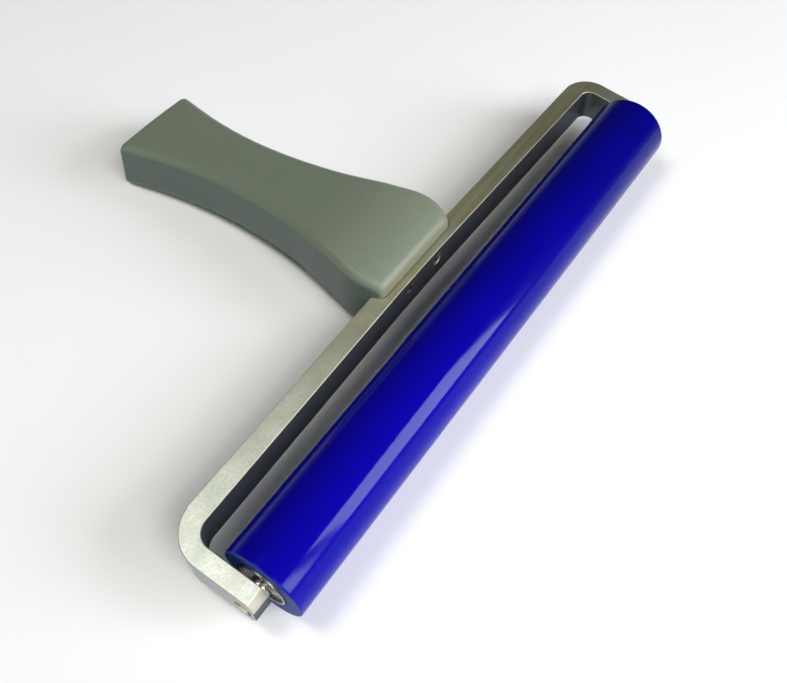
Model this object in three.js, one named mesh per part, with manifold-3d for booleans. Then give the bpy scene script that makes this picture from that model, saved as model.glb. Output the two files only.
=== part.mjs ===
// Rubber brayer: a blue silicone roller on a steel axle, held in a U-shaped
// aluminium frame with a moulded plastic grip screwed to its back bar.
//
// Millimetres. X runs along the roller, +Y points towards the end of the grip and
// +Z is up. The bench is z = 0: the roller and the tail of the grip both rest on it.
// The origin is under the middle of the tool's outline. Until the last lines everything
// is placed from the middle of the roller's axis instead.
// "Left" is the -X end of the tool and "right" the +X end.

import * as THREE from 'three';
import { mergeVertices } from 'three/addons/utils/BufferGeometryUtils.js';
import Module from 'manifold-3d';

const wasm = await Module();
wasm.setup();

// ---- Driving dimensions ----------------------------------------------------

// Clearances between neighbouring pieces.
const seatGap = 0.15;
const faceGap = 0.3;

// Roller.
const rollerLength = 300;
const sleeveRadius = 18.5;
const sleeveEdgeRadius = 0.7;
const coreRadius = 11;
const coreProud = 0.7;
const coreInnerRadius = 7.9;

// Ball bearings, 6 x 19 x 6, with seven balls on a pitch circle.
const bearingBoreRadius = 3;
const bearingRadius = 9.5;
const bearingWidth = 6;
const bearingRecess = 1;
const ballCount = 7;
const ballRadius = 1.75;
const ballPitchRadius = 6.25;
const ballClearance = 0.12;
const innerShoulderRadius = 4.8;
const outerShoulderRadius = 7.7;
const shieldThickness = 0.4;
const shieldInset = 0.1;
const cageThickness = 0.8;
const cageHalfWidth = 2.3;

// Axle, with a tapped hole in each end.
const axleRadius = 3;
const tapDepth = 12;

// Frame. Its back bar is bowed rearwards in the middle and its right arm leans outwards
// towards the bar, because the U is sprung together over the axle.
const axleSpan = 305;
const armThickness = 8.5;
const frameHeight = 16.6;
const barDepth = 9.5;
const barFront = 30.5;
const barBow = 2.6;
const bowBlend = 14;
const rightArmLean = THREE.MathUtils.degToRad(9);
const leftBend = { inner: 8, outer: 18.3 };
const rightBend = { inner: 4.5, outer: 13 };
const armReach = 5.8;
const tipChamferDepth = 2.6;
const tipChamferHeight = 4.6;
const edgeChamfer = 0.6;
const spotFaceRadius = 5.4;
const spotFaceDepth = 0.2;

// Axle screws: M4 cheese heads sunk in the arms.
const axleScrew = { shank: 1.85, hole: 2.2, head: 3.6, headHeight: 2.8 };
const counterboreRadius = 4.1;
const counterboreDepth = 3.8;

// Grip screws: M3, countersunk in the bar, and the brass inserts that they screw into.
const gripScrew = { shank: 1.35, hole: 1.7, head: 2.8, rimHeight: 0.2, length: 19 };
const countersinkRadius = 3.4;
const gripScrewSpacing = 21;
const gripScrewHeight = 2.5;
const insertRadius = 2.6;
const insertLength = 11;
const insertRelief = 2;

// Hexagonal key sockets in the screw heads.
const hexagon = 6;
const socketRadius = 1.4;
const socketDepth = 1.5;

// Grip. Stations are [distance behind the roller axis, value].
const gripShift = 4.8;
const gripFront = 37;
const gripRear = 206;
const gripCornerRadius = 4.5;
const gripEndRound = 3;
const gripEndSlant = 0.2;
const slantStart = 150;
const gripSteps = 28;
const gripBlank = { halfWidth: 20, halfDepth: 14 };
const halfWidthStations = [
  [gripFront, 27.6],
  [50, 30.7],
  [70, 26.8],
  [100, 20.4],
  [140, 17.2],
  [172, 19],
  [gripRear, 25.2],
];
const topStations = [
  [gripFront, 14.2],
  [46, 17.8],
  [64, 19.6],
  [90, 18.2],
  [130, 15.3],
  [170, 12.8],
  [gripRear, 10.6],
];
const undersideStations = [
  [gripFront, -13.6],
  [60, -12.8],
  [85, -11.4],
  [120, -13],
  [165, -15.6],
  [gripRear, -sleeveRadius],
];

// Facets around round pieces.
const fineFacets = 64;
const mediumFacets = 40;
const smallFacets = 24;
const bandFacets = 28;
const pocketFacets = 10;
const ballFacets = { around: 9, down: 6 };

// Steps along rounded edges, ball grooves, the grip's corners and the frame's bends.
const edgeSteps = 3;
const grooveSteps = 4;
const bendSteps = 8;

// How far a cutting shape runs past the face that it opens.
const overshoot = 3;

// How many tip chamfers long the arms of a cutting wedge are.
const wedgeReach = 5;

// Vertices closer than this are one vertex.
const weldDistance = 1e-4;

// ---- Worked-out sizes ------------------------------------------------------

const halfSpan = axleSpan / 2;
const halfHeight = frameHeight / 2;
const barRear = barFront + barDepth;
const channelBack = barRear + barBow + faceGap;
const bearingOuterFace = rollerLength / 2 + coreProud - bearingRecess;
const bearingCentre = bearingOuterFace - bearingWidth / 2;
const sides = [
  { name: 'left', sign: -1 },
  { name: 'right', sign: 1 },
];

// ---- Materials -------------------------------------------------------------

function finish(color, roughness, metalness) {
  return () => new THREE.MeshStandardMaterial({ color, roughness, metalness });
}

const aluminium = finish(0xc4c6bc, 0.42, 0.9);
const greyPlastic = finish(0x7b8375, 0.55, 0);
const blueSilicone = finish(0x0a0a96, 0.22, 0);
const steel = finish(0xb4b6b8, 0.3, 1);
const brass = finish(0xb8954a, 0.35, 1);

// ---- Solids ----------------------------------------------------------------

function toSolid(geometry) {
  const bare = geometry.clone();
  bare.deleteAttribute('normal');
  bare.deleteAttribute('uv');
  const merged = mergeVertices(bare, weldDistance);
  const vertProperties = new Float32Array(merged.attributes.position.array);
  const triVerts = new Uint32Array(merged.index.array);
  return new wasm.Manifold(new wasm.Mesh({ numProp: 3, vertProperties, triVerts }));
}

function toGeometry(solid) {
  const mesh = solid.getMesh();
  const geometry = new THREE.BufferGeometry();
  geometry.setAttribute('position', new THREE.BufferAttribute(mesh.vertProperties, 3));
  geometry.setIndex(new THREE.BufferAttribute(mesh.triVerts, 1));
  geometry.computeVertexNormals();
  return geometry;
}

function cut(geometry, tools) {
  let solid = toSolid(geometry);
  for (const tool of tools) {
    solid = solid.subtract(toSolid(tool));
  }
  return toGeometry(solid);
}

// A solid of revolution about X. The outline is [x, radius] pairs, closed or ending
// on the axis, running towards +X along its outside.
function turned(outline, facets) {
  const profile = outline.map(([x, radius]) => new THREE.Vector2(radius, x));
  return new THREE.LatheGeometry(profile, facets).rotateZ(-Math.PI / 2);
}

// A plain ring about X from x0 to x1.
function ring(innerRadius, outerRadius, x0, x1, facets) {
  return turned(
    [[x0, innerRadius], [x0, outerRadius], [x1, outerRadius], [x1, innerRadius], [x0, innerRadius]],
    facets,
  );
}

// A solid rod about X from x0 to x1.
function rod(radius, x0, x1, facets) {
  return turned([[x0, 0], [x0, radius], [x1, radius], [x1, 0]], facets);
}

// Points [x, radius] on an arc, angles in degrees from +X towards larger radius.
function arc(x, radius, size, from, to, count) {
  return Array.from({ length: count + 1 }, (_, i) => {
    const angle = THREE.MathUtils.degToRad(from + ((to - from) * i) / count);
    return [x + size * Math.cos(angle), radius + size * Math.sin(angle)];
  });
}

function part(name, geometry, material, position = [0, 0, 0]) {
  const mesh = new THREE.Mesh(geometry, material());
  mesh.name = name;
  mesh.position.set(...position);
  return mesh;
}

// ---- Roller ----------------------------------------------------------------

function sleeve() {
  const end = rollerLength / 2;
  const bore = coreRadius + seatGap;
  const shoulder = sleeveRadius - sleeveEdgeRadius;
  return turned(
    [
      [-end, bore],
      ...arc(-end + sleeveEdgeRadius, shoulder, sleeveEdgeRadius, 180, 90, edgeSteps),
      ...arc(end - sleeveEdgeRadius, shoulder, sleeveEdgeRadius, 90, 0, edgeSteps),
      [end, bore],
      [-end, bore],
    ],
    fineFacets,
  );
}

function coreTube() {
  const end = rollerLength / 2 + coreProud;
  const seatRadius = bearingRadius + seatGap;
  const shoulder = bearingCentre - bearingWidth / 2 - seatGap;
  return turned(
    [
      [-end, seatRadius],
      [-end, coreRadius],
      [end, coreRadius],
      [end, seatRadius],
      [shoulder, seatRadius],
      [shoulder, coreInnerRadius],
      [-shoulder, coreInnerRadius],
      [-shoulder, seatRadius],
      [-end, seatRadius],
    ],
    mediumFacets,
  );
}

// ---- Bearings --------------------------------------------------------------

const half = bearingWidth / 2;
const grooveRadius = ballRadius + ballClearance;

// Half-angle at which a groove of grooveRadius meets a race shoulder, in degrees.
function grooveAngle(shoulderRadius) {
  const rise = Math.abs(shoulderRadius - ballPitchRadius) / grooveRadius;
  return 90 - THREE.MathUtils.radToDeg(Math.asin(rise));
}

function outerRace() {
  const reach = grooveAngle(outerShoulderRadius);
  return turned(
    [
      [-half, outerShoulderRadius],
      [-half, bearingRadius],
      [half, bearingRadius],
      [half, outerShoulderRadius],
      ...arc(0, ballPitchRadius, grooveRadius, 90 - reach, 90 + reach, grooveSteps),
      [-half, outerShoulderRadius],
    ],
    mediumFacets,
  );
}

function innerRace() {
  const reach = grooveAngle(innerShoulderRadius);
  const bore = bearingBoreRadius + seatGap;
  return turned(
    [
      [-half, bore],
      [-half, innerShoulderRadius],
      ...arc(0, ballPitchRadius, grooveRadius, -90 - reach, -90 + reach, grooveSteps),
      [half, innerShoulderRadius],
      [half, bore],
      [-half, bore],
    ],
    smallFacets,
  );
}

// Where ball number i sits on the pitch circle.
function ballPlace(i) {
  const angle = (2 * Math.PI * i) / ballCount;
  return [0, ballPitchRadius * Math.sin(angle), ballPitchRadius * Math.cos(angle)];
}

function ball() {
  return new THREE.SphereGeometry(ballRadius, ballFacets.around, ballFacets.down);
}

function cage() {
  const pockets = Array.from({ length: ballCount }, (_, i) => {
    const pocketRadius = ballRadius + seatGap;
    const pocket = new THREE.CylinderGeometry(pocketRadius, pocketRadius, overshoot, pocketFacets);
    return pocket
      .rotateX(Math.PI / 2 - (2 * Math.PI * i) / ballCount)
      .translate(...ballPlace(i));
  });
  const band = ring(
    ballPitchRadius - cageThickness / 2,
    ballPitchRadius + cageThickness / 2,
    -cageHalfWidth,
    cageHalfWidth,
    bandFacets,
  );
  return cut(band, pockets);
}

function shield() {
  return ring(
    innerShoulderRadius + faceGap,
    outerShoulderRadius - seatGap,
    -shieldThickness / 2,
    shieldThickness / 2,
    smallFacets,
  );
}

function bearing({ name, sign }) {
  const group = new THREE.Group();
  const shieldPlace = half - shieldInset - shieldThickness / 2;
  group.add(part(`bearing_outer_race_${name}`, outerRace(), steel));
  group.add(part(`bearing_inner_race_${name}`, innerRace(), steel));
  group.add(part(`bearing_cage_${name}`, cage(), brass));
  group.add(part(`bearing_shield_outer_${name}`, shield(), steel, [sign * shieldPlace, 0, 0]));
  group.add(part(`bearing_shield_inner_${name}`, shield(), steel, [-sign * shieldPlace, 0, 0]));
  for (let i = 0; i < ballCount; i += 1) {
    group.add(part(`bearing_ball_${name}_${i + 1}`, ball(), steel, ballPlace(i)));
  }
  group.position.x = sign * bearingCentre;
  return group;
}

// ---- Axle and its fixings --------------------------------------------------

function axle() {
  const end = halfSpan - seatGap;
  const holes = sides.map(({ sign }) => (
    rod(axleScrew.hole, -tapDepth, overshoot, smallFacets)
      .rotateZ(sign < 0 ? Math.PI : 0)
      .translate(sign * end, 0, 0)
  ));
  return cut(rod(axleRadius, -end, end, smallFacets), holes);
}

// A spacer on the axle between a bearing's inner race and an arm's spot face.
function spacer({ sign }) {
  const geometry = ring(
    bearingBoreRadius + seatGap,
    innerShoulderRadius - seatGap,
    bearingOuterFace + seatGap,
    halfSpan + spotFaceDepth - seatGap,
    smallFacets,
  );
  return geometry.rotateZ(sign < 0 ? Math.PI : 0);
}

// Hexagonal key socket, opening towards +X at x = 0.
function keySocket() {
  return rod(socketRadius, -socketDepth, overshoot, hexagon);
}

// Cheese-headed screw along X: its head's outer face is x = 0 and it points to -X.
function axleScrewSolid() {
  const { shank, head, headHeight } = axleScrew;
  const length = armThickness + tapDepth - counterboreDepth;
  const blank = turned(
    [
      [-length, 0],
      [-length, shank],
      [-headHeight, shank],
      [-headHeight, head],
      [-edgeChamfer, head],
      [0, head - edgeChamfer],
      [0, 0],
    ],
    smallFacets,
  );
  return cut(blank, [keySocket()]);
}

// Countersunk screw along X: its head's face is x = 0 and it points to -X.
function gripScrewSolid() {
  const { shank, head, rimHeight, length } = gripScrew;
  const blank = turned(
    [
      [-length, 0],
      [-length, shank],
      [shank - head - rimHeight, shank],
      [-rimHeight, head],
      [0, head],
      [0, 0],
    ],
    smallFacets,
  );
  return cut(blank, [keySocket()]);
}

// ---- Frame -----------------------------------------------------------------

// The right arm's inner face at a distance y behind the roller axis.
function rightFace(y) {
  return halfSpan + y * Math.tan(rightArmLean);
}

// Adds an arc that rounds off a corner between two straight runs.
function roundCorner(path, before, corner, after, radius) {
  const back = before.clone().sub(corner).normalize();
  const onward = after.clone().sub(corner).normalize();
  const halfAngle = Math.acos(THREE.MathUtils.clamp(back.dot(onward), -1, 1)) / 2;
  const middle = back.clone().add(onward).normalize();
  const centre = corner.clone().addScaledVector(middle, radius / Math.sin(halfAngle));
  const reach = radius / Math.tan(halfAngle);
  const start = corner.clone().addScaledVector(back, reach).sub(centre);
  const end = corner.clone().addScaledVector(onward, reach).sub(centre);
  path.absarc(centre.x, centre.y, radius, start.angle(), end.angle(), back.cross(onward) > 0);
}

// The U seen from above: from the left tip along its inside, then back round outside.
function frameOutline() {
  const at = (x, y) => new THREE.Vector2(x, y);
  const rightThickness = armThickness / Math.cos(rightArmLean);
  const inner = [
    at(-halfSpan, -armReach),
    at(-halfSpan, barFront),
    at(-bowBlend, barFront + barBow),
    at(bowBlend, barFront + barBow),
    at(rightFace(barFront), barFront),
    at(rightFace(-armReach), -armReach),
  ];
  const outer = [
    at(rightFace(-armReach) + rightThickness, -armReach),
    at(rightFace(barRear) + rightThickness, barRear),
    at(bowBlend, barRear + barBow),
    at(-bowBlend, barRear + barBow),
    at(-halfSpan - armThickness, barRear),
    at(-halfSpan - armThickness, -armReach),
  ];
  const outline = new THREE.Shape();
  outline.moveTo(outer[5].x, outer[5].y);
  outline.lineTo(inner[0].x, inner[0].y);
  roundCorner(outline, inner[0], inner[1], inner[2], leftBend.inner);
  outline.lineTo(inner[2].x, inner[2].y);
  outline.lineTo(inner[3].x, inner[3].y);
  roundCorner(outline, inner[3], inner[4], inner[5], rightBend.inner);
  outline.lineTo(inner[5].x, inner[5].y);
  outline.lineTo(outer[0].x, outer[0].y);
  roundCorner(outline, outer[0], outer[1], outer[2], rightBend.outer);
  outline.lineTo(outer[2].x, outer[2].y);
  outline.lineTo(outer[3].x, outer[3].y);
  roundCorner(outline, outer[3], outer[4], outer[5], leftBend.outer);
  outline.closePath();
  return outline;
}

// Two wedges that slope off the tips of both arms, above and below.
function tipWedges() {
  const reach = 3 * halfSpan;
  return [1, -1].map((side) => {
    const wedge = new THREE.Shape();
    wedge.moveTo(tipChamferDepth * (1 + wedgeReach), tipChamferHeight * wedgeReach);
    wedge.lineTo(-tipChamferDepth * wedgeReach, tipChamferHeight * wedgeReach);
    wedge.lineTo(-tipChamferDepth * wedgeReach, -tipChamferHeight * (1 + wedgeReach));
    wedge.closePath();
    const geometry = new THREE.ExtrudeGeometry(wedge, { depth: reach, bevelEnabled: false });
    geometry.translate(-armReach, halfHeight, -reach / 2).rotateX(Math.PI / 2).rotateZ(Math.PI / 2);
    return side > 0 ? geometry : geometry.rotateY(Math.PI);
  });
}

// Stepped hole through an arm: a spot face for the spacer, the shank's hole and a
// counterbore for the head.
function armHoles() {
  const outerFace = halfSpan + armThickness;
  return sides.map(({ sign }) => {
    const hole = turned(
      [
        [halfSpan - overshoot, 0],
        [halfSpan - overshoot, spotFaceRadius],
        [halfSpan + spotFaceDepth, spotFaceRadius],
        [halfSpan + spotFaceDepth, axleScrew.hole],
        [outerFace - counterboreDepth, axleScrew.hole],
        [outerFace - counterboreDepth, counterboreRadius],
        [outerFace + overshoot, counterboreRadius],
        [outerFace + overshoot, 0],
      ],
      smallFacets,
    );
    return hole.rotateZ(sign < 0 ? Math.PI : 0);
  });
}

// x positions of the two grip screws.
const gripScrewPlaces = sides.map(({ name, sign }) => ({
  name,
  x: gripShift + (sign * gripScrewSpacing) / 2,
}));

// Countersunk holes through the back bar, opening forwards.
function barHoles() {
  const slope = countersinkRadius - gripScrew.hole;
  return gripScrewPlaces.map(({ x }) => {
    const hole = turned(
      [
        [-barDepth - overshoot, 0],
        [-barDepth - overshoot, gripScrew.hole],
        [-slope, gripScrew.hole],
        [0, countersinkRadius],
        [overshoot, countersinkRadius],
        [overshoot, 0],
      ],
      smallFacets,
    );
    return hole.rotateZ(-Math.PI / 2).translate(x, barFront + barBow, gripScrewHeight);
  });
}

function frame() {
  const blank = new THREE.ExtrudeGeometry(frameOutline(), {
    depth: frameHeight - 2 * edgeChamfer,
    bevelThickness: edgeChamfer,
    bevelSize: edgeChamfer,
    bevelOffset: -edgeChamfer,
    bevelSegments: 1,
    curveSegments: bendSteps,
  });
  blank.translate(0, 0, edgeChamfer - halfHeight);
  return cut(blank, [...tipWedges(), ...armHoles(), ...barHoles()]);
}

// ---- Grip ------------------------------------------------------------------

// A smooth value along the grip through its stations.
function along(stations) {
  const places = stations.map(([y]) => y);
  const values = stations.map(([, value]) => value);
  const interpolant = new THREE.CubicInterpolant(places, values, 1, [0]);
  return (y) => interpolant.evaluate(y)[0];
}

function roundedRectangle(halfWidth, halfDepth, radius) {
  const shape = new THREE.Shape();
  const x = halfWidth - radius;
  const y = halfDepth - radius;
  shape.absarc(x, y, radius, 0, Math.PI / 2, false);
  shape.absarc(-x, y, radius, Math.PI / 2, Math.PI, false);
  shape.absarc(-x, -y, radius, Math.PI, 1.5 * Math.PI, false);
  shape.absarc(x, -y, radius, 1.5 * Math.PI, 2 * Math.PI, false);
  return shape;
}

// The bar's channel and the two insert holes behind it.
function gripCuts() {
  const channelHeight = frameHeight + 2 * faceGap;
  const channel = new THREE.BoxGeometry(rollerLength, 2 * channelBack, channelHeight);
  const holes = gripScrewPlaces.map(({ x }) => (
    rod(insertRadius + seatGap, -insertLength - insertRelief, overshoot, smallFacets)
      .rotateZ(-Math.PI / 2)
      .translate(x, channelBack, gripScrewHeight)
  ));
  return [channel, ...holes];
}

function grip() {
  const halfWidth = along(halfWidthStations);
  const top = along(topStations);
  const underside = along(undersideStations);
  const blank = new THREE.ExtrudeGeometry(
    roundedRectangle(gripBlank.halfWidth, gripBlank.halfDepth, gripCornerRadius),
    {
      depth: gripRear - gripFront - 2 * gripEndRound,
      steps: gripSteps,
      bevelThickness: gripEndRound,
      bevelSize: gripEndRound,
      bevelOffset: -gripEndRound,
      bevelSegments: edgeSteps,
      curveSegments: edgeSteps,
    },
  );
  blank.rotateX(Math.PI / 2).translate(0, gripRear - gripEndRound, 0);
  const position = blank.attributes.position;
  for (let i = 0; i < position.count; i += 1) {
    const x = position.getX(i);
    const y = THREE.MathUtils.clamp(position.getY(i), gripFront, gripRear);
    const z = position.getZ(i);
    const widen = halfWidth(y) - gripBlank.halfWidth;
    const height = z > 0 ? z + top(y) - gripBlank.halfDepth : z + underside(y) + gripBlank.halfDepth;
    const slant = gripEndSlant * THREE.MathUtils.smoothstep(y, slantStart, gripRear);
    const setBack = slant * (top(gripRear) - height);
    position.setXYZ(i, x + Math.sign(x) * widen + gripShift, y + setBack, height);
  }
  return cut(blank, gripCuts());
}

// A threaded insert moulded into the grip, along X with its mouth at x = 0.
function insert() {
  return ring(gripScrew.hole, insertRadius, -insertLength, 0, smallFacets);
}

// ---- Assembly --------------------------------------------------------------

const roller = new THREE.Group();
roller.add(part('sleeve', sleeve(), blueSilicone));
roller.add(part('core_tube', coreTube(), aluminium));
sides.forEach((side) => roller.add(bearing(side)));

const yoke = new THREE.Group();
yoke.add(part('frame', frame(), aluminium));
yoke.add(part('axle', axle(), steel));
for (const side of sides) {
  yoke.add(part(`axle_spacer_${side.name}`, spacer(side), steel));
  const counterboreFloor = halfSpan + armThickness - counterboreDepth;
  const screw = part(`axle_screw_${side.name}`, axleScrewSolid(), steel);
  screw.position.x = side.sign * (counterboreFloor + faceGap + axleScrew.headHeight);
  screw.rotation.z = side.sign < 0 ? Math.PI : 0;
  yoke.add(screw);
}

const handle = new THREE.Group();
handle.add(part('handle', grip(), greyPlastic));
for (const { name, x } of gripScrewPlaces) {
  const screw = part(`handle_screw_${name}`, gripScrewSolid(), steel);
  screw.position.set(x, barFront + barBow + faceGap, gripScrewHeight);
  screw.rotation.z = -Math.PI / 2;
  handle.add(screw);
  const nut = part(`handle_insert_${name}`, insert(), brass);
  nut.position.set(x, channelBack + faceGap, gripScrewHeight);
  nut.rotation.z = -Math.PI / 2;
  handle.add(nut);
}

const group = new THREE.Group();
group.add(roller, yoke, handle);

// Stands the tool on z = 0 with the middle of its outline over the origin.
const outline = new THREE.Box3().setFromObject(group);
const middle = outline.getCenter(new THREE.Vector3());
group.position.set(-middle.x, -middle.y, -outline.min.z);

export default group;
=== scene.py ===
import math

import bmesh
import bpy
from mathutils import Matrix, Vector


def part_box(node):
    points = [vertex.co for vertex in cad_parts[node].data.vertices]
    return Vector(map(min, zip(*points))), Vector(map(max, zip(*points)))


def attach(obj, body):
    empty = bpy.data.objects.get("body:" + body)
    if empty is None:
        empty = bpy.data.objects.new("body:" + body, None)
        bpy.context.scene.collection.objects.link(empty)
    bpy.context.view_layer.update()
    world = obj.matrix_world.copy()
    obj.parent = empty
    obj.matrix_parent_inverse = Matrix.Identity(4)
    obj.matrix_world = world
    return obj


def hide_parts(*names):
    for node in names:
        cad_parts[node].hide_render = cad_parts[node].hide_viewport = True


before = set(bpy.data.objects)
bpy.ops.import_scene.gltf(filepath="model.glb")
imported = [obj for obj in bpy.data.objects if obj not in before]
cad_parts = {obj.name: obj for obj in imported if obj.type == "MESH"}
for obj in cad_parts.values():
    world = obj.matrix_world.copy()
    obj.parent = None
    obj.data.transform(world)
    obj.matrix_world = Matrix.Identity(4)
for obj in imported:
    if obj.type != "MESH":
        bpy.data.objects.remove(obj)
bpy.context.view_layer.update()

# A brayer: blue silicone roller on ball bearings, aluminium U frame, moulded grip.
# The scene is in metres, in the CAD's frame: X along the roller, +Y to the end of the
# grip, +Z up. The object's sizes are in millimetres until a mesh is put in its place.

MM = 0.001
SIDES = {"left": -1, "right": 1}

# ---- Sizes in millimetres, from the middle of the roller's axis -------------

SEAT_GAP = 0.15
FACE_GAP = 0.3
# How far cutters stick out of the piece that they cut: drills at their far end and at
# their mouth, the others at their mouth.
ARM_OVERCUT = (5, 3)
BAR_OVERCUT = (2, 1)
SOCKET_OVERCUT = 1
INSERT_OVERCUT = 2

SLEEVE_EDGE = 0.7
CORE_CHAMFER = 0.35
CORE_INNER = 7.9

BALL_COUNT = 7
BALL_GROOVE = 1.87
BALL_PITCH = 6.25
INNER_SHOULDER = 4.8
OUTER_SHOULDER = 7.7
BEARING_BORE = 3.15
RACE_CHAMFER = 0.3
CAGE_HALF_WALL = 0.4
CAGE_CHAMFER = 0.1
POCKET_START = 3
POCKET_END = 9

# A shield's section: (x, distance from its inner or outer edge).
SHIELD_FRONT_INNER = [(0.05, 0), (0.05, 0.5), (0.2, 0.75)]
SHIELD_FRONT_OUTER = [(0.2, 0.55), (0.0, 0.35), (0.2, 0.12), (0.12, 0)]
SHIELD_BACK_OUTER = [(-0.2, 0)]
SHIELD_BACK_INNER = [(-0.2, 0.8), (-0.05, 0.45), (-0.2, 0)]

TAP_RADIUS = 2.2
TAP_DEPTH = 12
SPACER_CHAMFER = 0.2

# The thread's depth is a share of its pitch, and the tip's taper of the shank's radius.
THREAD_DEPTH = 0.45
SCREW_TIP_TAPER = 0.7
SCREW_TIP = 0.3
THREAD_NECK = 0.2
SOCKET_POINT = 0.5
SOCKET_TURN = math.radians(20)
ARM_SCREW = {"shank": 1.85, "pitch": 0.7, "socket": 1.7, "socket_depth": 1.6}
ARM_SCREW_RIM = 0.5
ARM_SCREW_HEAD = 2.8
ARM_SCREW_UNDERCUT = 0.2
GRIP_SCREW = {"shank": 1.35, "pitch": 0.5, "socket": 1.35, "socket_depth": 1.5}
GRIP_SCREW_EDGE = 0.1
GRIP_SCREW_LAND = 0.3
GRIP_SCREW_HEAD = 1.65

INSERT_EDGE = 0.3
INSERT_BORE_EDGE = 0.2
INSERT_GROOVE_DEPTH = 0.4
INSERT_GROOVE_HALF = 0.5
INSERT_HOLE_SPARE = 2
KNURL_DEPTH = 0.15

HALF_SPAN = 152.5
ARM_THICKNESS = 8.5
FRAME_HEIGHT = 16.6
BAR_DEPTH = 9.5
BAR_FRONT = 30.5
BAR_BOW = 2.6
BOW_BLEND = 14
RIGHT_ARM_LEAN = math.radians(9)
LEFT_BEND = {"inner": 8, "outer": 18.3}
RIGHT_BEND = {"inner": 4.5, "outer": 13}
ARM_REACH = 5.8
TIP_CHAMFER_DEPTH = 2.6
TIP_CHAMFER_HEIGHT = 4.6
# The wedge that cuts a tip's chamfer goes on past it by this many times its size.
WEDGE_REACH = 5
WEDGE_HALF_LENGTH = 300
FRAME_EDGE = 0.5
FRAME_EDGE_ANGLE = math.radians(27)
SPOT_FACE_RADIUS = 5.4
SPOT_FACE_DEPTH = 0.2
COUNTERBORE_RADIUS = 4.1
COUNTERBORE_DEPTH = 3.8
SCREW_HOLE = 2.2
COUNTERSINK_RADIUS = 3.4
GRIP_SCREW_HOLE = 1.7

CHANNEL_HALF_LENGTH = 100
GRIP_SHIFT = 4.8
GRIP_FRONT = 37
GRIP_REAR = 206
GRIP_CORNER = 4.5
GRIP_END_ROUND = 3
GRIP_CROWN = 0.9
# The end face leans by this much for each millimetre of height.
GRIP_END_SLANT = 0.2
SLANT_START = 150
# The grip's outline as (distance from the roller's axis, size).
HALF_WIDTHS = [
    (37, 27.6), (50, 30.7), (70, 26.8), (100, 20.4), (140, 17.2), (172, 19), (206, 25.2),
]
TOPS = [(37, 14.2), (46, 17.8), (64, 19.6), (90, 18.2), (130, 15.3), (170, 12.8), (206, 10.6)]
UNDERSIDES = [(37, -13.6), (60, -12.8), (85, -11.4), (120, -13), (165, -15.6), (206, -18.5)]

# ---- How finely meshes are divided ------------------------------------------

# Segments round a turned piece.
FINE = 160
MEDIUM = 96
SMALL = 48
BALL_SEGMENTS = 24
BALL_RINGS = 10
# The ball's last ring is this many degrees from its pole.
BALL_POLE = 15
HEXAGON = 6
SLEEVE_RINGS = 24
SLEEVE_EDGE_STEPS = 6
GROOVE_STEPS = 12
HEAD_EDGE_STEPS = 4
THREAD_STEPS = 4
BEND_STEPS = 14
FRAME_EDGE_STEPS = 4
GRIP_RINGS = 110
ROUNDING_RINGS = 5
CORNER_STEPS = 8
FLAT_STEPS = (10, 5, 10, 5)
SHARP_ANGLE = math.radians(50)
FLAT_WEIGHT = 80


# ---- Places taken from the CAD ----------------------------------------------

def middle(node):
    low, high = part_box(node)
    return (low + high) / 2


def extent(node):
    low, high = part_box(node)
    return (high - low) / MM


def at(node):
    return Matrix.Translation(middle(node))


def front(node):
    """The middle of a node's face that looks towards the roller."""
    low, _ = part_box(node)
    centre = middle(node)
    return Vector((centre.x, low.y, centre.z))


AXIS = middle("sleeve")


# ---- Mesh helpers -----------------------------------------------------------

def new_piece(name, mesh_data, matrix=None):
    """A smooth-shaded object from a bmesh in millimetres, put in place in metres."""
    place = matrix or Matrix.Translation(AXIS)
    mesh_data.transform(place @ Matrix.Scale(MM, 4))
    bmesh.ops.recalc_face_normals(mesh_data, faces=mesh_data.faces)
    data = bpy.data.meshes.new(name)
    mesh_data.to_mesh(data)
    mesh_data.free()
    data.polygons.foreach_set("use_smooth", [True] * len(data.polygons))
    piece = bpy.data.objects.new(name, data)
    bpy.context.scene.collection.objects.link(piece)
    return piece


def facing(direction, origin):
    """A matrix that turns local +X to the direction and moves the local origin."""
    turn = Vector(direction).to_track_quat("X", "Z").to_matrix().to_4x4()
    return Matrix.Translation(origin) @ turn


def apply_modifiers(piece):
    bpy.context.view_layer.update()
    graph = bpy.context.evaluated_depsgraph_get()
    data = bpy.data.meshes.new_from_object(piece.evaluated_get(graph))
    piece.modifiers.clear()
    piece.data = data


def soften(piece, width, segments, angle):
    """Rounds off the edges where the faces turn by more than the angle."""
    bevel = piece.modifiers.new("edges", "BEVEL")
    bevel.width = width * MM
    bevel.segments = segments
    bevel.limit_method = "ANGLE"
    bevel.angle_limit = angle
    bevel.use_clamp_overlap = False
    apply_modifiers(piece)


def carve(piece, cutters):
    """Cuts the cutters' shapes out of a piece and removes the cutters."""
    for cutter in cutters:
        boolean = piece.modifiers.new("cut", "BOOLEAN")
        boolean.operation = "DIFFERENCE"
        boolean.solver = "EXACT"
        boolean.object = cutter
    apply_modifiers(piece)
    for cutter in cutters:
        bpy.data.objects.remove(cutter)


def keep_flats_flat(piece):
    """Big flat faces keep their own normals beside small rounded edges."""
    piece.data.set_sharp_from_angle(angle=SHARP_ANGLE)
    weighted = piece.modifiers.new("weighted normals", "WEIGHTED_NORMAL")
    weighted.keep_sharp = True
    weighted.weight = FLAT_WEIGHT


def arc(x, radius, size, start, end, count):
    """Points (x, radius) on an arc, in degrees from +X towards a larger radius."""
    angles = [math.radians(start + (end - start) * i / count) for i in range(count + 1)]
    return [(x + size * math.cos(a), radius + size * math.sin(a)) for a in angles]


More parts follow.
